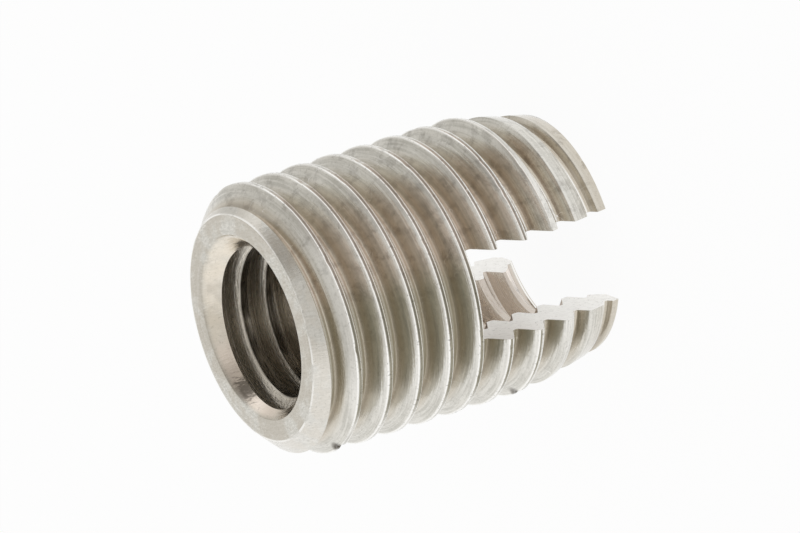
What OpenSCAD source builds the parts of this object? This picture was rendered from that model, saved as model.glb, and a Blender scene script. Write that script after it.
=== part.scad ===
// Self-tapping threaded insert: a turned bush with a coarse outer thread that cuts its own
// way into a drilled hole, a metric thread inside it, and a milled cross slot whose corners
// are the cutting edges. The bush stands on its slotted end, with its axis along +Z.

/* [Bush] */
// Overall length
body_len = 15; // [12:0.5:20]
// Width of the chamfer on the plain end, the same across and along
lead_chamfer = 1.05; // [0.6:0.05:1.2]
// Height of the cone at the cutting end
taper_len = 3.4; // [2:0.1:5]
// How far that cone cuts into the crests at the end
taper_cut = 0.75; // [0.5:0.05:0.9]

/* [Outer thread] */
// Diameter over the crests
outer_d = 12; // [11.6:0.1:13]
// Pitch of the outer thread
outer_pitch = 1.5; // [1.4:0.05:1.75]
// Width of the flat on each crest
crest_flat = 0.2; // [0.14:0.02:0.36]
// Depth of the thread
outer_depth = 0.96; // [0.7:0.02:1]
// Angle at which a crest runs out at the cutting end
outer_start = 27; // [0:1:359]

/* [Inner thread] */
// Diameter over the roots of the inner thread
inner_d = 8; // [7:0.1:8.2]
// Pitch of the inner thread
inner_pitch = 1.25; // [1.1:0.05:1.4]
// Bore through the crests of the inner thread
bore_d = 6.65; // [6.4:0.05:6.9]
// Angle at which an inner crest runs out at the cutting end
inner_start = 291; // [0:1:359]
// How far the countersink on the plain end reaches past the roots, on each side
sink_over = 0.05; // [0:0.05:0.4]
// How far the countersink on the cutting end reaches past the roots, on each side
tip_sink_over = 0.3; // [0:0.05:0.4]

/* [Slot] */
// Width of the cross slot
slot_w = 4; // [2.4:0.05:4.4]
// Depth of the slot from the cutting end
slot_len = 7; // [4:0.25:8]
// Distance of the slot's middle plane from the axis
slot_shift = 0.05; // [0:0.01:0.1]

/* [Hidden] */
// Included angle of both threads
thread_angle = 60;
// How far a cutter reaches past the surface that it opens
overshoot = 0.12;
// Straight steps in each turn of a thread
outer_steps = 36;
inner_steps = 30;
$fn = 96;

outer_r = outer_d / 2;
bore_r = bore_d / 2;
flank_slope = tan(thread_angle / 2);
sink_r = inner_d / 2 + sink_over;
tip_sink_r = inner_d / 2 + tip_sink_over;
// Both countersinks are cut at 90 degrees, so each is as deep as it is wide
sink_depth = sink_r - bore_r;
tip_sink_depth = tip_sink_r - bore_r;

// One turn after another of a groove, as a closed tube of quads. Each point of the profile
// is [radius, height]; the heights rise by one pitch in each turn.
module helical_groove(profile, pitch, start_angle, steps) {
    // The groove starts more than a turn below the bush and ends more than a turn above it
    first = -ceil(1.5 * steps);
    last = ceil((body_len / pitch + 1.5) * steps);
    sides = len(profile);
    function ring(i) = let (turn = i / steps, angle = 360 * turn + start_angle)
        [for (p = profile) [p[0] * cos(angle), p[0] * sin(angle), p[1] + pitch * turn]];
    points = [for (i = [first:last]) each ring(i)];
    count = last - first;
    walls = [for (i = [0:count - 1], j = [0:sides - 1])
        let (a = i * sides, k = (j + 1) % sides)
        each [[a + j, a + k, a + sides + k], [a + j, a + sides + k, a + sides + j]]];
    near_cap = [for (j = [sides - 1:-1:0]) j];
    far_cap = [for (j = [0:sides - 1]) count * sides + j];
    polyhedron(points = points, faces = concat([near_cap], walls, [far_cap]), convexity = 12);
}

// The space between two crests of the outer thread: a wide flat root and straight flanks
module outer_groove() {
    root_half = outer_pitch / 2 - crest_flat / 2 - outer_depth * flank_slope;
    open_half = outer_pitch / 2 - crest_flat / 2 + overshoot * flank_slope;
    middle = outer_pitch / 2;
    profile = [
        [outer_r - outer_depth, middle - root_half],
        [outer_r + overshoot, middle - open_half],
        [outer_r + overshoot, middle + open_half],
        [outer_r - outer_depth, middle + root_half]];
    helical_groove(profile, outer_pitch, outer_start, outer_steps);
}

// The space between two crests of the inner thread: its root is an eighth of the pitch wide
module inner_groove() {
    root_half = inner_pitch / 16;
    open_half = root_half + (inner_d / 2 - bore_r + overshoot) * flank_slope;
    middle = inner_pitch / 2;
    profile = [
        [bore_r - overshoot, middle - open_half],
        [inner_d / 2, middle - root_half],
        [inner_d / 2, middle + root_half],
        [bore_r - overshoot, middle + open_half]];
    helical_groove(profile, inner_pitch, inner_start, inner_steps);
}

// Section of the turned blank: taper, crest line, chamfer, flat end face and countersinks
module blank() {
    rotate_extrude()
        polygon([
            [tip_sink_r, 0],
            [outer_r - taper_cut, 0],
            [outer_r, taper_len],
            [outer_r, body_len - lead_chamfer],
            [outer_r - lead_chamfer, body_len],
            [sink_r, body_len],
            [bore_r, body_len - sink_depth],
            [bore_r, tip_sink_depth]]);
}

// The cross slot, open at the cutting end and on both sides
module cross_slot() {
    translate([-outer_d, slot_shift - slot_w / 2, -1])
        cube([2 * outer_d, slot_w, slot_len + 1]);
}

module insert() {
    color([0.72, 0.69, 0.65])
        difference() {
            blank();
            outer_groove();
            inner_groove();
            cross_slot();
        }
}

insert();
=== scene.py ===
# %% [markdown]
# # A self-tapping threaded insert in turned stainless steel
#
# The part is one piece of metal: a bush with a coarse thread outside, a screw thread inside and a
# slot milled across its cutting end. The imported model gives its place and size. This lesson makes
# the surface that is looked at: threads with softened crests and roots, turned end faces, a milled
# slot, and a stainless finish worked out from the shape itself.

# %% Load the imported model
import math

import bpy
import numpy as np
from mathutils import Matrix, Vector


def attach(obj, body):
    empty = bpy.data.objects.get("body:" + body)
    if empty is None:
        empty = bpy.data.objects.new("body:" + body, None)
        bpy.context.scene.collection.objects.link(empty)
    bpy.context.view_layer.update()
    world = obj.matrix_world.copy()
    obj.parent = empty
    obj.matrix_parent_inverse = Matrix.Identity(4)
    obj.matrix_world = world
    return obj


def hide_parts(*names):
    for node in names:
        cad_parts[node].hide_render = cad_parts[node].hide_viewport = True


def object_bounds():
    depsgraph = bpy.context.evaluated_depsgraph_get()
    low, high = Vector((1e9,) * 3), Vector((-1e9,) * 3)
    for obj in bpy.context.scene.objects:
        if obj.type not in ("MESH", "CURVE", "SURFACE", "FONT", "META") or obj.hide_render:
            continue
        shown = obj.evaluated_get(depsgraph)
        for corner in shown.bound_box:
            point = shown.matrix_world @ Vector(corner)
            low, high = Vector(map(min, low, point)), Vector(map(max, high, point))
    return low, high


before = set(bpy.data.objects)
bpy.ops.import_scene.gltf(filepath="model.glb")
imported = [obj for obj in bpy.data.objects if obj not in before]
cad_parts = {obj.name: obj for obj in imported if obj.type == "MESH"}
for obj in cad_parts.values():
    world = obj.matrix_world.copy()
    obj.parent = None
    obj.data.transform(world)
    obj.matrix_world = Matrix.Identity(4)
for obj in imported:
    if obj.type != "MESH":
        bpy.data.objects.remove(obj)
cad_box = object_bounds()
# Every length below is in millimetres, and a mesh is scaled to metres when it is made
MM = 0.001
TURN = 2 * math.pi
low, high = (np.array(corner) / MM for corner in cad_box)
body_len = high[2] - low[2]
outer_r = (high[0] - low[0]) / 2
print("insert", round(body_len, 3), "mm long,", round(2 * outer_r, 3), "mm over the crests")

# %% [markdown]
# ## The section of the blank
#
# Before a thread is cut, the bar is turned to a simple section: a long taper at the cutting end, a
# cylinder, and a 45 degree chamfer at the plain end. Inside there is a bore with a countersink at
# each end. Each side of that section has one radius for each height, so a function of height is
# enough. What the lathe takes off is written as a cut, measured from the crest line inwards for
# the outside and from the bore outwards for the inside.

# %% What the lathe takes off, as functions of height
lead_chamfer = 1.05
taper_len = 3.4
taper_end_r = 5.25
bore_r = 3.325
sink_r = 4.05
tip_sink_r = 4.3
turned_rounding = 0.03


def ramp(x, rounding):
    """Zero below zero and x above it. Within the rounding on both sides of zero, a parabola joins
    the two."""
    inside = (x + rounding) ** 2 / (4 * rounding)
    return np.where(x <= -rounding, 0.0, np.where(x >= rounding, x, inside))


def outside_cut(z):
    """The height above the chamfer's start, plus the taper's slope times the height below the
    taper's top."""
    chamfer = ramp(z - (body_len - lead_chamfer), turned_rounding)
    taper = ramp(taper_len - z, turned_rounding) * (outer_r - taper_end_r) / taper_len
    return chamfer + taper


def inside_cut(z):
    """How far each end's 45 degree cone is wider than the bore at this height."""
    top = ramp(z - (body_len - (sink_r - bore_r)), turned_rounding)
    tip = ramp((tip_sink_r - bore_r) - z, turned_rounding)
    return top + tip


print("cut at the tip", round(float(outside_cut(np.array(0.0))), 3), "mm")

# %% [markdown]
# ## The threads
#
# A modifier such as Screw can sweep a section along a helix, but it can't let a crest widen where
# the taper cuts it down. Here each thread is a grid instead. One direction goes round the axis. The
# other goes along it in rows that climb with the helix, so that each corner of a crest has a row of
# its own and stays crisp. A row that has left the part is held on its rim, and the doubles that
# this makes are merged afterwards.

# %% The two threads
steps_round = 288
angle = np.arange(steps_round) * 2 * math.pi / steps_round
flank_slope = math.tan(math.radians(30))
# The start is the angle at which a crest leaves the cutting end. The line is the cylinder that the
# crests lie on, and the metal is cut away from it inwards (-1) or outwards (1). The rows are shares
# of the crest's half width and of the flank.
outer_thread = dict(pitch=1.5, start=math.radians(27), crest_half=0.1, depth=0.96,
                    line_r=outer_r, inward=-1, cut=outside_cut,
                    crest_rounding=0.045, root_rounding=0.05,
                    crest_rows=(0, 0.75, 1), flank_rows=(0.05, 0.35, 0.65, 0.95, 1))
inner_thread = dict(pitch=1.25, start=math.radians(291), crest_half=0.156, depth=0.675,
                    line_r=bore_r, inward=1, cut=inside_cut,
                    crest_rounding=0.035, root_rounding=0.05,
                    crest_rows=(0, 1), flank_rows=(0.1, 0.55, 1))
edge_break = 0.02
rim_low, rim_high = edge_break, body_len - edge_break


def section_cut(thread, distance, z):
    """How deep the metal is cut at a distance from the crest's middle. The flanks enclose 60
    degrees and fall from the crest's corners to the root, and the lathe's cut wins where it is
    deeper."""
    flank = (distance - thread["crest_half"]) / flank_slope
    rooted = flank - ramp(flank - thread["depth"], thread["root_rounding"])
    turned = thread["cut"](z)
    return turned + ramp(rooted - turned, thread["crest_rounding"])


def crest_height(thread, turn, round_angle):
    """Height of the middle of a crest, which climbs by a pitch in each turn."""
    return thread["pitch"] * (turn + (round_angle - thread["start"]) / TURN)


def crest_distance(thread, z, round_angle):
    """Distance along the axis from the middle of the nearest turn of the crest."""
    turn = z / thread["pitch"] - (round_angle - thread["start"]) / TURN
    return np.abs(turn - np.round(turn)) * thread["pitch"]


print("depths", outer_thread["depth"], "mm outside,", inner_thread["depth"], "mm inside")

# %% Nicks in the crests
random = np.random.default_rng(11)
nick_count = 100
nick_width = 0.13
# Each nick is a turn of the crest, an angle in degrees, a depth and a half length. The small ones
# are strewn at random. The three large ones are the marks of knocks: a long flat and a deep dent
# near the plain end, and a deep dent near the taper.
nicks = np.stack([
    random.integers(0, 10, nick_count), random.uniform(-180, 180, nick_count),
    random.uniform(0.01, 0.045, nick_count), random.uniform(0.08, 0.2, nick_count)], axis=1)
long_flat = (9, -48, 0.07, 1.1)
deep_dent = (9, -62, 0.2, 0.24)
tip_dent = (3, -66, 0.17, 0.22)
nicks = np.concatenate([nicks, [long_flat, deep_dent, tip_dent]])


def nick_depth(z, round_angle):
    """Sum of bell-shaped dents. Each is as long along the crest as its own half length says, and
    as wide as the nick width across it."""
    turn, degrees, deep, half_length = nicks.T[:, :, None, None]
    at_angle = np.radians(degrees)
    turned = (round_angle - at_angle + math.pi) % TURN - math.pi
    along = turned * outer_r / half_length
    across = (z - crest_height(outer_thread, turn, at_angle)) / nick_width
    return (deep * np.exp(-along ** 2 - across ** 2)).sum(axis=0)


print(len(nicks), "nicks")

# %% The rows of a thread
# Turns of rows past each end, rounds that settle a crest's corner, and a flank's least width
spare_turns = 2
corner_rounds = 14
least_flank = 0.03


def thread_rows(thread):
    """Each row's share and the turn of its crest, and how many rows make one pitch. A share runs
    from 0 at the crest's middle to 1 at its corner, 2 at the foot of the flank and 3 in the middle
    of the root, and it is below zero where the crest lies above the row."""
    half = np.concatenate([thread["crest_rows"], 1 + np.array(thread["flank_rows"]), [3.0]])
    rising = np.concatenate([half, -half[-2:0:-1]])
    crest_above = np.concatenate([np.zeros(len(half)), np.ones(len(half) - 2)])
    turns = int(math.ceil(body_len / thread["pitch"])) + 2 * spare_turns
    turn = np.repeat(np.arange(turns) - spare_turns, len(rising)) + np.tile(crest_above, turns)
    return np.tile(rising, turns)[:, None], turn[:, None], len(rising)


def crest_corner(thread, middle, side, root_corner):
    """Distance of the crest's corner, which lies where the flank meets the turned surface. A deeper
    cut there moves it down the flank, and repeating that step a few times settles it."""
    corner = np.full(middle.shape, thread["crest_half"])
    for _ in range(corner_rounds):
        turned = thread["cut"](middle + side * corner)
        widened = thread["crest_half"] + turned * flank_slope
        corner = np.minimum(widened, root_corner - least_flank)
    return corner


for thread in (outer_thread, inner_thread):
    print(thread_rows(thread)[2], "rows in a pitch of", thread["pitch"], "mm")


# %% The grid of a thread
def helix_grid(thread):
    """Radius and height of a thread's points, one row for each share and one column for each angle.
    A row's distance from its crest is its share of the crest, the flank or the root."""
    share, turn, pitch_rows = thread_rows(thread)
    middle = crest_height(thread, turn, angle[None, :])
    side = np.where(share < 0, -1.0, 1.0)
    share = np.abs(share)
    root_corner = thread["crest_half"] + thread["depth"] * flank_slope
    corner = crest_corner(thread, middle, side, root_corner)
    on_flank = corner + (share - 1) * (root_corner - corner)
    on_root = root_corner + (share - 2) * (thread["pitch"] / 2 - root_corner)
    distance = np.where(share <= 1, share * corner, np.where(share <= 2, on_flank, on_root))
    z = middle + side * distance
    held = np.clip(z, rim_low, rim_high)
    distance = np.where(z == held, distance, crest_distance(thread, held, angle[None, :]))
    radius = thread["line_r"] + thread["inward"] * section_cut(thread, distance, held)
    return radius, held, pitch_rows


def ring_points(radius, z):
    """Cylinder coordinates to points. The angle is the column's, and the radius and the height are
    given."""
    return np.stack([radius * np.cos(angle), radius * np.sin(angle), z + 0 * radius], axis=-1)


outer_radius, outer_z, outer_pitch_rows = helix_grid(outer_thread)
outer_radius = outer_radius - nick_depth(outer_z, angle[None, :])
inner_radius, inner_z, inner_pitch_rows = helix_grid(inner_thread)
print("outer grid", outer_radius.shape, "inner grid", inner_radius.shape)

# %% [markdown]
# ## One closed skin
#
# The two threads, the flat ring at each end and the small broken edges between them close into one
# skin round the axis. A row at the last angle goes on as the row one pitch higher at the first
# angle, which is how a helix closes. Points that fall together are made one, and faces that have
# lost a side are dropped.

# %% Faces of the grids and the rings
def helix_faces(rows, pitch_rows, first, flip):
    """Quads between neighbouring rows and columns. Beside the last column comes the first one, and
    there the same turn of the helix is a pitch of rows further on."""
    row, column = np.meshgrid(np.arange(rows - 1), np.arange(steps_round), indexing="ij")
    wraps = column == steps_round - 1
    beside = np.where(wraps, 0, column + 1)

    def index(at_row, at_column, wrapped):
        climbed = np.minimum(at_row + np.where(wrapped, pitch_rows, 0), rows - 1)
        return first + climbed * steps_round + at_column

    quad = np.stack([index(row, column, False), index(row, beside, wraps),
                     index(row + 1, beside, wraps), index(row + 1, column, False)], axis=-1)
    quad = quad.reshape(-1, 4)
    return quad[:, ::-1] if flip else quad


def band_faces(rings, first, flip):
    """Quads between rings that close round the axis, with no climb."""
    return helix_faces(rings, 0, first, flip)


def end_rings(outer_rim, inner_rim, face_z, into):
    """Rings across an end face: three on the outer rim's broken edge, plain steps across the flat,
    and three on the inner rim's edge. A broken edge is two and a half times as wide as deep."""
    flat_shares = np.linspace(0, 1, 6)[1:-1]
    inset = np.array([0, 0.6, 2.5]) * edge_break
    sink = np.array([1, 0.25, 0]) * edge_break
    rings = [ring_points(outer_rim - a, face_z + into * b) for a, b in zip(inset, sink)]
    flat_from, flat_to = outer_rim - inset[-1], inner_rim + inset[-1]
    rings += [ring_points(flat_from + s * (flat_to - flat_from), face_z) for s in flat_shares]
    rings += [ring_points(inner_rim + a, face_z + into * b)
              for a, b in zip(inset[::-1], sink[::-1])]
    return np.array(rings)


top_rings = end_rings(outer_radius[-1], inner_radius[-1], body_len, -1)
tip_rings = end_rings(outer_radius[0], inner_radius[0], 0.0, 1)
grids = [ring_points(outer_radius, outer_z), ring_points(inner_radius, inner_z),
         top_rings, tip_rings]
firsts = np.cumsum([0] + [len(grid) * steps_round for grid in grids])
points = np.concatenate([grid.reshape(-1, 3) for grid in grids])
faces = np.concatenate([
    helix_faces(len(outer_radius), outer_pitch_rows, firsts[0], False),
    helix_faces(len(inner_radius), inner_pitch_rows, firsts[1], True),
    band_faces(len(top_rings), firsts[2], False),
    band_faces(len(tip_rings), firsts[3], True)])


def merged(points, faces):
    """Makes points one that are the same to four decimals of a millimetre, splits each quad into
    two triangles and keeps those with three different corners."""
    rounded = np.round(points, 4)
    _, kept, place = np.unique(rounded, axis=0, return_index=True, return_inverse=True)
    faces = place.reshape(-1)[faces]
    triangles = np.concatenate([faces[:, [0, 1, 2]], faces[:, [0, 2, 3]]])
    a, b, c = triangles.T
    return points[kept], triangles[(a != b) & (b != c) & (c != a)]


points, triangles = merged(points, faces)
print("skin:", len(points), "points,", len(triangles), "triangles")


def mesh_object(name, points_mm, polygons):
    """A mesh object at the origin from points in millimetres."""
    mesh = bpy.data.meshes.new(name)
    mesh.from_pydata((points_mm * MM).tolist(), [], np.asarray(polygons).tolist())
    mesh.validate()
    piece = bpy.data.objects.new(name, mesh)
    bpy.context.scene.collection.objects.link(piece)
    return piece


insert_skin = mesh_object("insert_skin", points, triangles)

# %% [markdown]
# ## The slot
#
# The slot is the last cut on the real part, a straight pass of a milling cutter through both
# walls, and it cuts across every thread. A Boolean modifier does the same here. It needs a closed
# skin, which the step above gave, and it leaves the sharp edges that do the cutting in use.

# %% Mill the slot
slot_w = 4.0
slot_len = 7.0
slot_shift = 0.05
# The cutter starts this far below the tip, so that the cut is open there
below_tip = 1.0
# Edges sharper than this stay crisp, and the others are shaded smoothly
sharp_angle = math.radians(38)
cube_corners = np.array([[x, y, z] for x in (-1, 1) for y in (-1, 1) for z in (-1, 1)], float)
cube_faces = [(0, 1, 3, 2), (4, 6, 7, 5), (0, 4, 5, 1), (2, 3, 7, 6), (0, 2, 6, 4), (1, 5, 7, 3)]
cutter_half = np.array([2 * outer_r, slot_w / 2, (slot_len + below_tip) / 2])
cutter_middle = np.array([0, slot_shift, (slot_len - below_tip) / 2])
cutter = mesh_object("slot_cutter", cube_corners * cutter_half + cutter_middle, cube_faces)


def cut_away(piece, tool):
    """Takes the tool's volume off the piece, makes the result its mesh and deletes the tool."""
    modifier = piece.modifiers.new("milled", "BOOLEAN")
    modifier.operation = "DIFFERENCE"
    modifier.solver = "MANIFOLD"
    modifier.object = tool
    evaluated = piece.evaluated_get(bpy.context.evaluated_depsgraph_get())
    cut = bpy.data.meshes.new_from_object(evaluated)
    piece.modifiers.clear()
    piece.data = cut
    bpy.data.objects.remove(tool)


cut_away(insert_skin, cutter)
face_count = len(insert_skin.data.polygons)
insert_skin.data.polygons.foreach_set("use_smooth", np.ones(face_count, bool))
insert_skin.data.set_sharp_from_angle(angle=sharp_angle)
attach(insert_skin, "root")
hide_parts("insert")
print("after milling:", face_count, "faces")

# %% [markdown]
# ## Faces by the tool that made them
#
# A turned face, a cut thread and a milled face of the same steel don't look alike, because each
# tool leaves its own marks. The place and the direction of a face say which tool made it, so the
# faces are sorted into four material slots by their middles and normals, all at once.

# %% Sort the faces
# How near a face lies to a milled plane or a turned cone, and how squarely it faces along an axis
on_plane = 0.003
near_cut = 0.03
square_on = 0.999
face_middle = np.empty(face_count * 3)
face_normal = np.empty(face_count * 3)
insert_skin.data.polygons.foreach_get("center", face_middle)
insert_skin.data.polygons.foreach_get("normal", face_normal)
face_middle = face_middle.reshape(-1, 3) / MM
face_normal = face_normal.reshape(-1, 3)
face_radius = np.hypot(face_middle[:, 0], face_middle[:, 1])
face_height = face_middle[:, 2]

off_wall = np.abs(np.abs(face_middle[:, 1] - slot_shift) - slot_w / 2)
on_wall = (off_wall < on_plane) & (np.abs(face_normal[:, 1]) > square_on)
on_slot_end = (np.abs(face_height - slot_len) < on_plane) & (face_normal[:, 2] < -square_on)
milled = on_slot_end | (on_wall & (face_height < slot_len))
inside = face_radius < bore_r + inner_thread["depth"] + 2 * near_cut
inside_turned = inside_cut(face_height)
off_cone = np.abs(face_radius - (bore_r + inside_turned))
on_cone = inside & (inside_turned > near_cut) & (off_cone < near_cut)
under_chamfer = outer_r - outside_cut(face_height) - face_radius
on_chamfer = ~inside & (face_height > body_len - lead_chamfer) & (under_chamfer < near_cut)
on_end = np.minimum(face_height, body_len - face_height) < 1.2 * edge_break
turned = on_cone | on_chamfer | on_end

finish_names = ["thread_cut_steel", "tapped_steel", "turned_steel", "milled_steel"]
finish_of_face = np.select([milled, turned, inside], [3, 2, 1], default=0)
print(dict(zip(finish_names, np.bincount(finish_of_face, minlength=4).tolist())))

# %% [markdown]
# ## Shader maths
#
# A pattern that follows a thread needs sums: the helix is a height minus a share of the angle. As
# nodes, sums are hard to read, so a small class wraps a socket. An expression on two wrapped
# sockets adds the Math node that it stands for and wraps what comes out.

# %% A socket that can be added and multiplied
class Value:
    """One output of a node tree. Operators add Math nodes; node() adds any other node."""

    def __init__(self, tree, socket=None):
        self.tree, self.socket = tree, socket

    def node(self, kind, settings=None, inputs=None, output=0):
        """A node of this type: its settings first, then its inputs, linked or written in."""
        made = self.tree.nodes.new(kind)
        for name, setting in (settings or {}).items():
            setattr(made, name, setting)
        for name, given in (inputs or {}).items():
            if isinstance(given, Value):
                self.tree.links.new(given.socket, made.inputs[name])
            else:
                made.inputs[name].default_value = given
        return Value(self.tree, None if output is None else made.outputs[output])

    def math(self, operation, *others):
        """A Math node on this number and the others."""
        given = dict(enumerate((self,) + others))
        return self.node("ShaderNodeMath", dict(operation=operation), given)

    def vector(self, operation, *others, output=0):
        """A Vector Math node on this vector and the others."""
        given = dict(enumerate((self,) + others))
        return self.node("ShaderNodeVectorMath", dict(operation=operation), given, output)

    def __add__(self, other):
        return self.math("ADD", other)

    def __sub__(self, other):
        return self.math("SUBTRACT", other)

    def __rsub__(self, other):
        return self.math("MULTIPLY_ADD", -1.0, other)

    def __mul__(self, other):
        return self.math("MULTIPLY", other)

    def __truediv__(self, other):
        return self.math("DIVIDE", other)

    def __abs__(self):
        return self.math("ABSOLUTE")

    __radd__ = __add__
    __rmul__ = __mul__

    def rise(self, start, end):
        """Zero before the start, one after the end and a smooth step between them."""
        return self.node("ShaderNodeMapRange", dict(interpolation_type="SMOOTHSTEP"),
                         {"Value": self, "From Min": start, "From Max": end})

    def noise(self, scale, detail=2.0, rough=0.5):
        """Cloudy noise between 0 and 1 over this vector, as many lumps in a unit as the scale."""
        return self.node("ShaderNodeTexNoise", {}, {
            "Vector": self, "Scale": scale, "Detail": detail, "Roughness": rough})

    def mix(self, first, second):
        """The first colour where this is zero and the second where it is one. The Mix node has
        sockets of one name for each kind of data, so those for colours go by number."""
        return self.node("ShaderNodeMix", dict(data_type="RGBA", clamp_factor=True),
                         {0: self, 6: first, 7: second}, 2)


def together(x, y, z):
    """Three numbers as one vector."""
    return x.node("ShaderNodeCombineXYZ", {}, {"X": x, "Y": y, "Z": z})


def new_tree(data):
    """Turns nodes on and gives the empty tree, ready for an expression."""
    data.use_nodes = True
    data.node_tree.nodes.clear()
    return Value(data.node_tree)


print("shader maths ready")

# %% Places on the part, in millimetres
class Place:
    """Where a point of the surface is: its place, radius and angle in turns round the axis."""

    def __init__(self, tree):
        metres = tree.node("ShaderNodeTexCoord", output="Object")
        self.at = metres.node("ShaderNodeVectorMath", dict(operation="SCALE"),
                              {0: metres, "Scale": 1 / MM})
        self.x, self.y, self.z = (
            self.at.node("ShaderNodeSeparateXYZ", {}, {0: self.at}, axis) for axis in "XYZ")
        self.radius = together(self.x, self.y, 0.0).vector("LENGTH", output="Value")
        self.turns = self.y.math("ARCTAN2", self.x) / TURN

    def along_crest(self, thread):
        """Distance along the axis from the middle of the nearest turn of a crest, above zero
        towards the plain end."""
        turn = self.z / thread["pitch"] - self.turns + thread["start"] / TURN
        return (turn - turn.math("ROUND")) * thread["pitch"]


print("places ready")

# %% [markdown]
# ## Four finishes of one stainless steel
#
# All four are metal from edge to edge, so their colour is the colour of what they mirror, times a
# slightly warm grey. What tells them apart is how the tool scored them: streaks that run along the
# helix on the threads, rings on the turned ends, straight marks in the slot. Each pattern gives a
# colour, a roughness and a height in millimetres, and one function makes the material from them.

# %% One way to make a steel
def colour(red, green, blue):
    """A plain colour, opaque."""
    return (red, green, blue, 1.0)


worn = colour(0.54, 0.525, 0.475)
clean = colour(0.73, 0.71, 0.655)
stained = colour(0.60, 0.54, 0.445)
# Burnished wear, and also the colour of painted highlights in some marks below
burnished_and_highlight = colour(0.95, 0.935, 0.9)
warm = colour(0.9, 0.815, 0.69)
# The colour of a painted highlight on the countersink
pink_highlight = colour(0.94, 0.81, 0.73)
# Dark dirt, and also the colour of painted shade in several marks below
dirt_and_shade = colour(0.12, 0.105, 0.085)
oiled = colour(0.72, 0.67, 0.59)
# The lighter colour painted into the bore near the slot
slot_light = colour(0.68, 0.61, 0.54)


def steel(name, pattern):
    """A metal whose colour, roughness and height in millimetres come from a pattern of places."""
    material = bpy.data.materials.new(name)
    tree = new_tree(material)
    tint, roughness, height = pattern(Place(tree))
    normal = tree.node("ShaderNodeBump", {}, {"Height": height, "Distance": MM, "Strength": 1.0})
    surface = tree.node("ShaderNodeBsdfPrincipled", {}, {
        "Base Color": tint, "Metallic": 1.0, "Roughness": roughness, "Normal": normal})
    tree.node("ShaderNodeOutputMaterial", {}, {"Surface": surface}, None)
    print("made", name, "with", len(tree.tree.nodes), "nodes")
    return material


# %% The thread's own finish
def thread_cut(place):
    """Streaks along the helix, a brown film in the root that thins up the flank, bright corners on
    a crest with a painted dark reflection on top, painted shade and painted highlights at the
    flanks' feet, fine bright hairs and dark specks."""
    signed = place.along_crest(outer_thread)
    across = abs(signed)
    drift = place.x * 0.5 + place.y * 0.33 + place.z * 0.7
    streaks = together(place.radius * 9.0, across * 9.0, drift).noise(1.0, 4.0, 0.65)
    grain = place.at.noise(8.0, 3.0, 0.7)
    clouds = place.at.noise(1.5, 4.0, 0.6)
    root_r = outer_r - outer_thread["depth"]
    film = (1 - place.radius.rise(root_r + 0.1, root_r + 0.6)) * (0.5 + 0.7 * clouds)
    edge = place.radius.rise(outer_r - 0.09, outer_r - 0.015)
    corner = edge * across.rise(0.04, 0.09)
    tint = (streaks * 0.75 + grain * 0.25).rise(0.38, 0.66).mix(clean, worn)
    tint = film.mix(tint, stained)
    # Painted shade darkens the foot of the flank that faces the plain end. A painted highlight lies
    # along the foot of the flank that faces the slot, on one side of the part, and near the crests
    # round the front.
    foot = signed.rise(0.5, 0.6) * (1 - signed.rise(0.62, 0.68))
    tint = (foot * 0.3).mix(tint, dirt_and_shade)
    far_foot = (1 - signed.rise(-0.62, -0.5)) * signed.rise(-0.76, -0.69)
    tint = (far_foot * (1 - place.turns.rise(0.12, 0.18)) * 0.9).mix(tint, burnished_and_highlight)
    front_highlight = place.turns.rise(-0.14, -0.04) * (1 - place.turns.rise(0.1, 0.2))
    near_crest = place.radius.rise(outer_r - 0.5, outer_r - 0.2)
    tint = (front_highlight * near_crest * 0.45).mix(tint, burnished_and_highlight)
    # Clouded stains, laid only on one side of the front, where they are also painted shade
    tint = (clouds.rise(0.5, 0.66) * place.turns.rise(-0.06, 0.1) * 0.26).mix(tint, dirt_and_shade)
    # A painted dark reflection lies on top of the crests for part of each turn
    crest_top = edge * (1 - across.rise(0.03, 0.07))
    dark_reflection_span = place.turns.rise(-0.04, -0.01) * (1 - place.turns.rise(0.16, 0.22))
    tint = (crest_top * dark_reflection_span * 0.5).mix(tint, dirt_and_shade)
    tint = corner.mix(tint, burnished_and_highlight)
    specks = grain.rise(0.58, 0.66) * (0.12 + 0.3 * edge)
    tint = specks.mix(tint, dirt_and_shade)
    hair = (1 - abs(place.at.noise(1.7, 0.0) - 0.5).rise(0.001, 0.006)) * clouds.rise(0.5, 0.56)
    tint = (hair * 0.6).mix(tint, burnished_and_highlight)
    # The steel is darker in and round the two deep dents
    for turn, degrees, deep, half_length in (deep_dent, tip_dent):
        at_angle = math.radians(degrees)
        middle = (outer_r * math.cos(at_angle), outer_r * math.sin(at_angle),
                  crest_height(outer_thread, turn, at_angle))
        away = place.at.vector("DISTANCE", middle, output="Value") + 0.25 * grain
        tint = ((1 - away.rise(half_length + 0.1, half_length + 0.4)) * 5 * deep).mix(tint, dirt_and_shade)
    roughness = 0.06 + 0.1 * streaks + 0.05 * grain
    return tint, roughness, 0.006 * streaks + 0.003 * grain


finishes = [steel(finish_names[0], thread_cut)]


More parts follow.
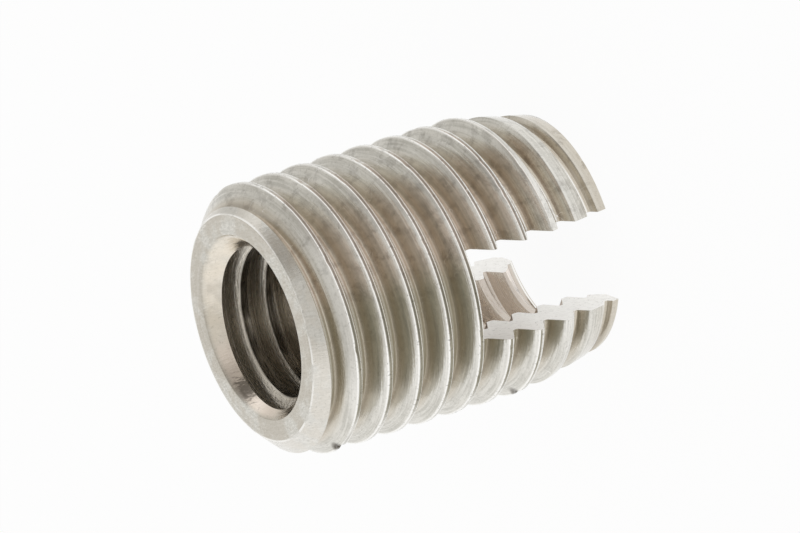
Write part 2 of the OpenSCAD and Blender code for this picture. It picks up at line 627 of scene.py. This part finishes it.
# %% The inner thread's finish
def tapped(place):
    """Streaks as on the outer thread, under dark oil in patches and painted shade. Both lie along
    the ridges and thinner in the roots, and the bore is painted lighter near the slot and at the
    mouth."""
    across = abs(place.along_crest(inner_thread))
    drift = place.x * 0.6 + place.y * 0.4 + place.z * 0.7
    streaks = together(place.radius * 9.0, across * 9.0, drift).noise(1.0, 3.0, 0.6)
    grain = place.at.noise(5.0, 2.0, 0.6)
    film = place.radius.rise(bore_r + 0.07, bore_r + 0.25)
    ridge = 1 - place.radius.rise(bore_r + 0.02, bore_r + 0.08)
    lit_near_slot = 1 - place.z.rise(5.0, 9.0)
    patches = place.at.noise(0.5, 2.0, 0.5).rise(0.42, 0.6)
    # Painted shade darkens the ridges, in patches like dark oil, and a little of it lies in the
    # roots
    tint = (film * 0.2 + ridge * (0.3 + 0.65 * patches)).mix(oiled, dirt_and_shade)
    tint = (streaks.rise(0.5, 0.66) * 0.3).mix(tint, worn)
    # Painted light: the bore is lighter near the slot and at the mouth, where light comes in
    tint = (lit_near_slot * 0.85).mix(tint, slot_light)
    lit_mouth = place.z.rise(body_len - 0.75, body_len - 0.3)
    tint = (lit_mouth * 0.85).mix(tint, clean)
    return tint, 0.2 + 0.14 * streaks, 0.012 * streaks + 0.016 * grain


finishes.append(steel(finish_names[1], tapped))


# %% The turned ends
def turned_face(place):
    """Rings round the axis and strokes across them, as a lathe tool and then a brush leave them.
    The cone keeps a warm stain and, low on one side, a painted pink highlight with painted shade in
    it, and the rim between the flat and the chamfer is rubbed bright."""
    drift = place.x * 0.8 + place.y * 0.5
    rings = together(place.radius * 8.0, place.z * 8.0, drift * 0.5).noise(1.0, 4.0, 0.7)
    grain = place.at.noise(8.0, 3.0, 0.7)
    clouds = place.at.noise(0.9, 3.0, 0.6)
    stroke_way = together(place.x * 3.0 + place.y * 2.0, place.y * 11.0 - place.x * 4.0, place.z)
    strokes = stroke_way.noise(1.0, 4.0, 0.7)
    round_x, round_y = place.x / place.radius, place.y / place.radius
    fans = together(round_x * 1.9 + 4.0, round_y * 1.9, place.z * 0.8).noise(1.0, 2.0, 0.5)
    flat_r = outer_r - lead_chamfer
    cone = 1 - place.radius.rise(sink_r - 0.2, sink_r + 0.02)
    flat = place.z.rise(body_len - 0.06, body_len - 0.02)
    bevel = place.radius.rise(flat_r + 0.02, flat_r + 0.06)
    tint = (strokes * 0.55 + rings * 0.25 + grain * 0.2).rise(0.36, 0.6).mix(clean, worn)
    tint = (clouds.rise(0.38, 0.6) * 0.5).mix(tint, stained)
    tint = (flat * clouds.rise(0.4, 0.6) * 0.16).mix(tint, dirt_and_shade)
    tint = (bevel * 0.3).mix(tint, burnished_and_highlight)
    tint = (cone * 0.5).mix(tint, warm)
    tint = (cone * fans.rise(0.5, 0.6) * 0.2).mix(tint, dirt_and_shade)
    tint = (cone * (1 - fans.rise(0.38, 0.5)) * 0.4).mix(tint, warm)
    # Low on one side the countersink has a painted pink highlight, with a band of painted shade in
    # it
    pink_highlight_patch = 1 - abs(place.turns + 0.33).rise(0.08, 0.13)
    tint = (cone * pink_highlight_patch * 0.45).mix(tint, pink_highlight)
    shade_band = 1 - abs(place.turns + 0.335 + 0.1 * (strokes - 0.5)).rise(0.01, 0.035)
    tint = (cone * shade_band * 0.8).mix(tint, dirt_and_shade)
    rim = 1 - abs(place.radius - flat_r).rise(0.02, 0.06)
    tint = (rim * (0.25 + clouds.rise(0.42, 0.56) * 0.6)).mix(tint, burnished_and_highlight)
    tint = (grain.rise(0.6, 0.68) * 0.2).mix(tint, dirt_and_shade)
    return tint, 0.1 + 0.1 * rings + 0.06 * grain, 0.008 * rings + 0.008 * strokes


finishes.append(steel(finish_names[2], turned_face))


# %% The milled slot
def milled_face(place):
    """Close marks that follow the cutter's edge, bright and even, as a fresh cut is."""
    mark_way = together(place.x * 9.0 + place.z * 4.0, place.y * 9.0, place.z * 5.0)
    marks = mark_way.noise(1.0, 4.0, 0.7)
    grain = place.at.noise(9.0, 3.0, 0.7)
    tint = (marks.rise(0.42, 0.7) * 0.2).mix(burnished_and_highlight, worn)
    tint = (grain.rise(0.6, 0.68) * 0.4).mix(tint, dirt_and_shade)
    return tint, 0.34 + 0.1 * marks, 0.005 * marks + 0.004 * grain


finishes.append(steel(finish_names[3], milled_face))

# %% Put the finishes on
insert_skin.data.materials.clear()
for finish in finishes:
    insert_skin.data.materials.append(finish)
# Emptying the slots above set every face to the first one, so the sorting is written after it
insert_skin.data.polygons.foreach_set("material_index", finish_of_face.astype(np.int32))
print("finishes:", ", ".join(finish.name for finish in insert_skin.data.materials))

# %% [markdown]
# ## Floor, light and background
#
# Bare metal shows nothing but its surroundings, so the light is a room and not a few lamps. A white
# tent stands round the part. Low on the camera's side it is open, and the darker room shows there
# in the steel. The tent is a function of direction, used by the world and, below the part, by the
# floor. The camera sees the same white behind everything, with the part's own faint shadow on it.

# %% Directions of the room
camera_azimuth = math.radians(19.16)
camera_height_angle = math.radians(27.33)
towards_camera = (math.cos(camera_azimuth), math.sin(camera_azimuth), 0.0)
to_its_side = (-math.sin(camera_azimuth), math.cos(camera_azimuth), 0.0)
tent_white = colour(1.0, 1.0, 1.0)
room_left = colour(0.41, 0.39, 0.325)
room_right = colour(0.64, 0.56, 0.505)
tent_shade = colour(0.7, 0.69, 0.67)
card_brown = colour(0.25, 0.225, 0.195)
card_front, card_side, card_height = 0.12, 0.64, 0.76


def studio(direction):
    """The room's colour in a direction: white, with the darker room in a low band in front, grey
    behind the part on one side and over most of the roof, and one brown card high up. Each is a
    range of how far the direction points to the front, to the side and up."""
    front = direction.vector("DOT_PRODUCT", towards_camera, output="Value")
    side = direction.vector("DOT_PRODUCT", to_its_side, output="Value")
    height = direction.node("ShaderNodeSeparateXYZ", {}, {0: direction}, "Z")
    room = side.rise(-0.3, 0.3).mix(room_left, room_right)
    opening = front.rise(-0.55, -0.05) * (1 - height.rise(-0.2, -0.05)) * height.rise(-0.54, -0.47)
    card = front * card_front + side * card_side + height * card_height
    roof = side.rise(-0.56, -0.38) * height.rise(0.52, 0.68)
    behind = side.rise(0.15, 0.6) * height.rise(-0.3, 0.1) * (1 - front.rise(-0.7, -0.3))
    tent = behind.math("MAXIMUM", roof).mix(tent_white, tent_shade)
    seen = opening.mix(tent, room)
    return (card.rise(0.88, 0.975) * 0.6).mix(seen, card_brown)


print("camera stands", round(math.degrees(camera_azimuth), 2), "degrees round from the X axis")

# %% The world
def straight_ray(tree):
    """One where a surface is looked at, straight or through glass, and zero in a reflection."""
    camera_ray = tree.node("ShaderNodeLightPath", output="Is Camera Ray")
    through_ray = tree.node("ShaderNodeLightPath", output="Is Transmission Ray")
    return camera_ray.math("MAXIMUM", through_ray)


world = bpy.data.worlds.new("white_tent")
bpy.context.scene.world = world
sky = new_tree(world)
tent = studio(sky.node("ShaderNodeTexCoord", output="Generated"))
backdrop = straight_ray(sky).mix(tent, tent_white)
light = sky.node("ShaderNodeBackground", {}, {"Color": backdrop, "Strength": 1.0})
sky.node("ShaderNodeOutputWorld", {}, {"Surface": light}, None)
print("white tent round the part")

# %% The floor
floor_half = 600.0
paper_white = colour(0.9, 0.9, 0.9)
# Of what the camera sees in the floor, this share is plain white and the rest is lit paper, which
# holds the part's shadow
plain_share = 0.94
floor_corners = np.array([[-1, -1, 0], [1, -1, 0], [1, 1, 0], [-1, 1, 0]]) * floor_half
floor = mesh_object("floor", floor_corners, [(0, 1, 2, 3)])

paper = bpy.data.materials.new("white_paper")
sheet = new_tree(paper)
part_middle = (0.0, 0.0, body_len / 2 * MM)
spot = sheet.node("ShaderNodeTexCoord", output="Object").vector("SUBTRACT", part_middle)
tent_below = studio(spot.vector("NORMALIZE"))
diffuse = sheet.node("ShaderNodeBsdfDiffuse", {}, {"Color": paper_white})
mirrored = sheet.node("ShaderNodeEmission", {}, {"Color": tent_below, "Strength": 1.0})
plain_white = sheet.node("ShaderNodeEmission", {}, {"Color": tent_white, "Strength": 1.0})
in_gloss = sheet.node("ShaderNodeLightPath", output="Is Glossy Ray")
lit = sheet.node("ShaderNodeMixShader", {}, {0: in_gloss, 1: diffuse, 2: mirrored})
shown = straight_ray(sheet) * plain_share
surface = sheet.node("ShaderNodeMixShader", {}, {0: shown, 1: lit, 2: plain_white})
sheet.node("ShaderNodeOutputMaterial", {}, {"Surface": surface}, None)
floor.data.materials.append(paper)
print("floor", 2 * floor_half, "mm wide")

# %% [markdown]
# ## The camera
#
# A long lens from far away keeps the two ends nearly the same size. The camera looks down at the
# standing part and is rolled, so that in the picture the part seems to lie on its side.

# %% Aim the camera
camera_roll = math.radians(107.27)
camera_distance = 484.4
focal_length = 516.2
sensor_width = 36
metres_seen = 10
aim = np.array([-0.166, 0.573, 7.44])
raised = np.array([0.0, 0.0, math.sin(camera_height_angle)])
backwards = np.array(towards_camera) * math.cos(camera_height_angle) + raised
level_right = np.array(to_its_side)
level_up = np.cross(backwards, level_right)
up = level_up * math.cos(camera_roll) + level_right * math.sin(camera_roll)
lens = bpy.data.cameras.new("camera")
lens.sensor_width = sensor_width
lens.lens = focal_length
lens.clip_end = metres_seen
camera = bpy.data.objects.new("camera", lens)
pose = np.eye(4)
pose[:3, 0], pose[:3, 1], pose[:3, 2] = np.cross(up, backwards), up, backwards
pose[:3, 3] = (aim + backwards * camera_distance) * MM
camera.matrix_world = Matrix(pose.tolist())
bpy.context.scene.collection.objects.link(camera)
bpy.context.scene.camera = camera
bpy.context.scene.view_settings.view_transform = "Standard"
print("camera", camera_distance, "mm away")
